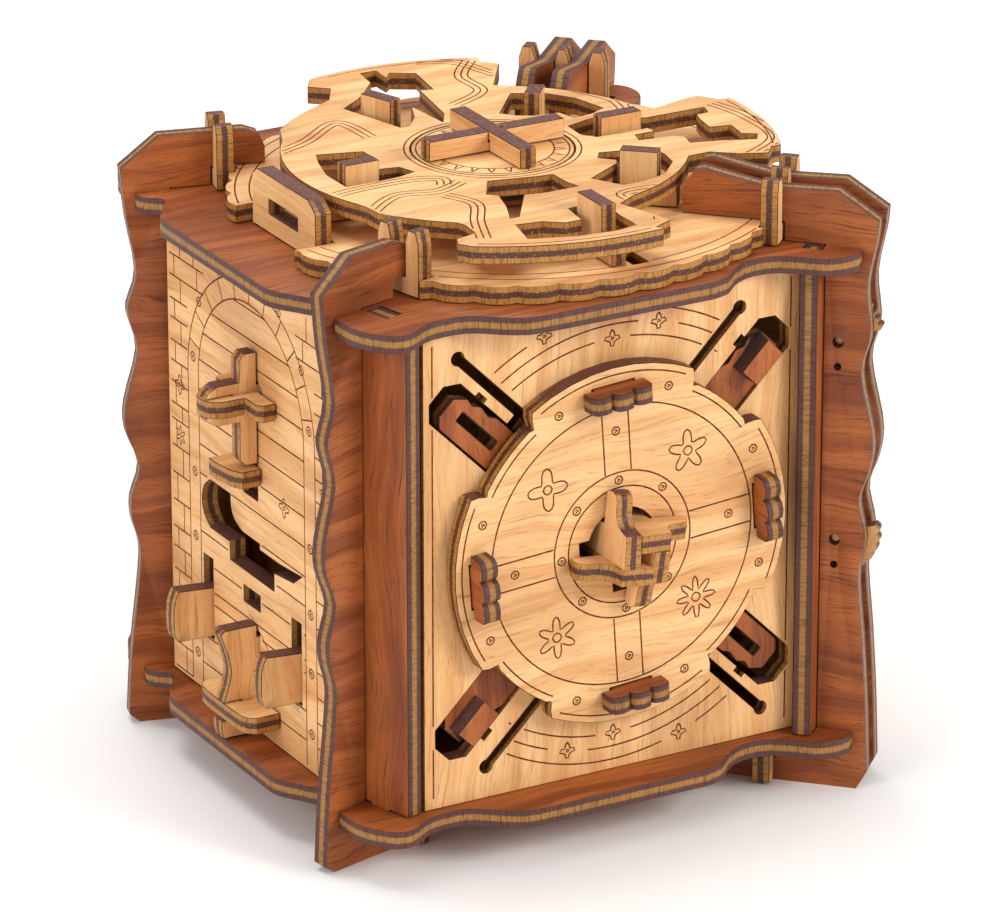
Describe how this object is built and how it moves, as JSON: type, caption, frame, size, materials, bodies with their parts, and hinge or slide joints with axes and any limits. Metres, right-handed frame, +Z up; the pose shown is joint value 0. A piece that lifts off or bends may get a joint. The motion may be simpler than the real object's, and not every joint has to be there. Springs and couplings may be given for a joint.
{
  "type": "wooden puzzle box",
  "caption": "Square laser-cut plywood casket with hooked corner fins, a turning dial on the front, a castle door with latches on one side and a maze wheel with a cross handle on the lid.",
  "frame": {"origin": "middle of the footprint, on the surface that the corner fins stand on", "axes": "+Z up, the dial faces -Y, the castle door faces -X"},
  "size_m": [0.1408, 0.143, 0.1464],
  "materials": {
    "birch_ply": "satin",
    "mahogany_ply": "satin"
  },
  "bodies": {
    "casket": {"fin_front_left": "mahogany_ply", "fin_rear_left": "mahogany_ply", "fin_front_right_1": "mahogany_ply", "fin_front_right_2": "mahogany_ply", "fin_rear_right_1": "mahogany_ply", "fin_rear_right_2": "mahogany_ply", "post_front_left": "mahogany_ply", "lock_top_front_left": "birch_ply", "lock_base_front_left": "birch_ply", "post_rear_left": "mahogany_ply", "lock_top_rear_left": "birch_ply", "lock_base_rear_left": "birch_ply", "post_front_right": "mahogany_ply", "lock_top_front_right": "birch_ply", "lock_base_front_right": "birch_ply", "post_rear_right": "mahogany_ply", "lock_top_rear_right": "birch_ply", "lock_base_rear_right": "birch_ply", "trim_base": "mahogany_ply", "trim_top": "mahogany_ply", "base_board": "mahogany_ply", "lid_disc": "birch_ply", "slotted_upright": "birch_ply", "wall_dial": "birch_ply", "wall_door": "birch_ply", "wall_right": "birch_ply", "wall_rear": "birch_ply", "wheel_washer": "birch_ply"},
    "dial": {"dial_disc": "birch_ply", "grip_right": "mahogany_ply", "grip_bottom": "mahogany_ply", "grip_left": "mahogany_ply", "grip_top": "mahogany_ply", "dial_retainer": "birch_ply"},
    "knob": {"knob": "birch_ply"},
    "bolt_upper_right": {"bolt_upper_right": "mahogany_ply"},
    "bolt_upper_left": {"bolt_upper_left": "mahogany_ply"},
    "bolt_lower_left": {"bolt_lower_left": "mahogany_ply"},
    "bolt_lower_right": {"bolt_lower_right": "mahogany_ply"},
    "handle": {"handle_upright": "birch_ply", "handle_wing": "birch_ply"},
    "latch_shelf": {"latch_shelf": "birch_ply"},
    "lift_tab_rear": {"lift_tab_rear": "birch_ply"},
    "lift_tab_front": {"lift_tab_front": "birch_ply"},
    "pull": {"pull_upright": "birch_ply", "pull_wing": "birch_ply"},
    "wheel": {"maze_wheel": "birch_ply"},
    "pin_left": {"pin_left": "birch_ply"},
    "pin_back": {"pin_back": "birch_ply"},
    "pin_back_right": {"pin_back_right": "birch_ply"},
    "pin_right": {"pin_right": "birch_ply"},
    "pin_front_right": {"pin_front_right": "birch_ply"},
    "pin_front": {"pin_front": "birch_ply"},
    "hub": {"hub_disc": "birch_ply", "cross_board_across": "birch_ply", "cross_board_along": "birch_ply"},
    "fan_upper": {"fan_upper": "birch_ply"},
    "fan_lower": {"fan_lower": "birch_ply"},
    "drawer": {"drawer_tray": "birch_ply", "drawer_front": "birch_ply"}
  },
  "joints": [
    {"name": "dial_turn", "type": "hinge", "parent": "casket", "child": "dial", "pos_m": [0.0016, -0.05615, 0.06925], "axis": [0, 1, 0], "continuous": true},
    {"name": "knob_turn", "type": "hinge", "parent": "casket", "child": "knob", "pos_m": [0.0016, -0.06045, 0.06925], "axis": [0, 1, 0], "continuous": true},
    {"name": "bolt_upper_right_slide", "type": "slide", "parent": "casket", "child": "bolt_upper_right", "axis": [0.7071, 0, 0.7071], "range_m": [0, 0.004]},
    {"name": "bolt_upper_left_slide", "type": "slide", "parent": "casket", "child": "bolt_upper_left", "axis": [-0.7071, 0, 0.7071], "range_m": [0, 0.004]},
    {"name": "bolt_lower_left_slide", "type": "slide", "parent": "casket", "child": "bolt_lower_left", "axis": [-0.7071, 0, -0.7071], "range_m": [0, 0.004]},
    {"name": "bolt_lower_right_slide", "type": "slide", "parent": "casket", "child": "bolt_lower_right", "axis": [0.7071, 0, -0.7071], "range_m": [0, 0.004]},
    {"name": "handle_turn", "type": "hinge", "parent": "casket", "child": "handle", "pos_m": [-0.057, -0.00055, 0.0945], "axis": [1, 0, 0], "range_deg": [-90, 90]},
    {"name": "shelf_slide", "type": "slide", "parent": "casket", "child": "latch_shelf", "axis": [0, 0, -1], "range_m": [0, 0.004]},
    {"name": "lift_tab_rear_slide", "type": "slide", "parent": "casket", "child": "lift_tab_rear", "axis": [0, 0, 1], "range_m": [0, 0.0065]},
    {"name": "lift_tab_front_slide", "type": "slide", "parent": "casket", "child": "lift_tab_front", "axis": [0, 0, 1], "range_m": [0, 0.0065]},
    {"name": "pull_slide", "type": "slide", "parent": "casket", "child": "pull", "axis": [-1, 0, 0], "range_m": [0, 0.006]},
    {"name": "wheel_turn", "type": "hinge", "parent": "casket", "child": "wheel", "pos_m": [0.003, -0.00015, 0.1376], "axis": [0, 0, 1], "range_deg": [-3, 20]},
    {"name": "pin_left_slide", "type": "slide", "parent": "wheel", "child": "pin_left", "axis": [1, 0, 0], "range_m": [0, 0.005]},
    {"name": "pin_back_slide", "type": "slide", "parent": "wheel", "child": "pin_back", "axis": [0.342, -0.9397, 0], "range_m": [-0.0025, 0.0025]},
    {"name": "pin_back_right_slide", "type": "slide", "parent": "wheel", "child": "pin_back_right", "axis": [0.6428, 0.766, 0], "range_m": [0, 0.0025]},
    {"name": "pin_right_slide", "type": "slide", "parent": "wheel", "child": "pin_right", "axis": [1, 0, 0], "range_m": [0, 0.008]},
    {"name": "pin_front_right_slide", "type": "slide", "parent": "wheel", "child": "pin_front_right", "axis": [0.6561, 0.7547, 0], "range_m": [-0.0025, 0.0025]},
    {"name": "pin_front_slide", "type": "slide", "parent": "wheel", "child": "pin_front", "axis": [0, 1, 0], "range_m": [-0.004, 0]},
    {"name": "hub_turn", "type": "hinge", "parent": "casket", "child": "hub", "pos_m": [0.003, -0.00015, 0.1376], "axis": [0, 0, 1], "continuous": true},
    {"name": "fan_upper_turn", "type": "hinge", "parent": "casket", "child": "fan_upper", "pos_m": [0.05972, -0.05667, 0.1062], "axis": [-0.7071, -0.7071, 0], "range_deg": [-30, 15]},
    {"name": "fan_lower_turn", "type": "hinge", "parent": "casket", "child": "fan_lower", "pos_m": [0.05972, -0.05667, 0.0596], "axis": [-0.7071, -0.7071, 0], "range_deg": [-15, 30]},
    {"name": "drawer_slide", "type": "slide", "parent": "casket", "child": "drawer", "axis": [0, 1, 0], "range_m": [0, 0.06]}
  ]
}
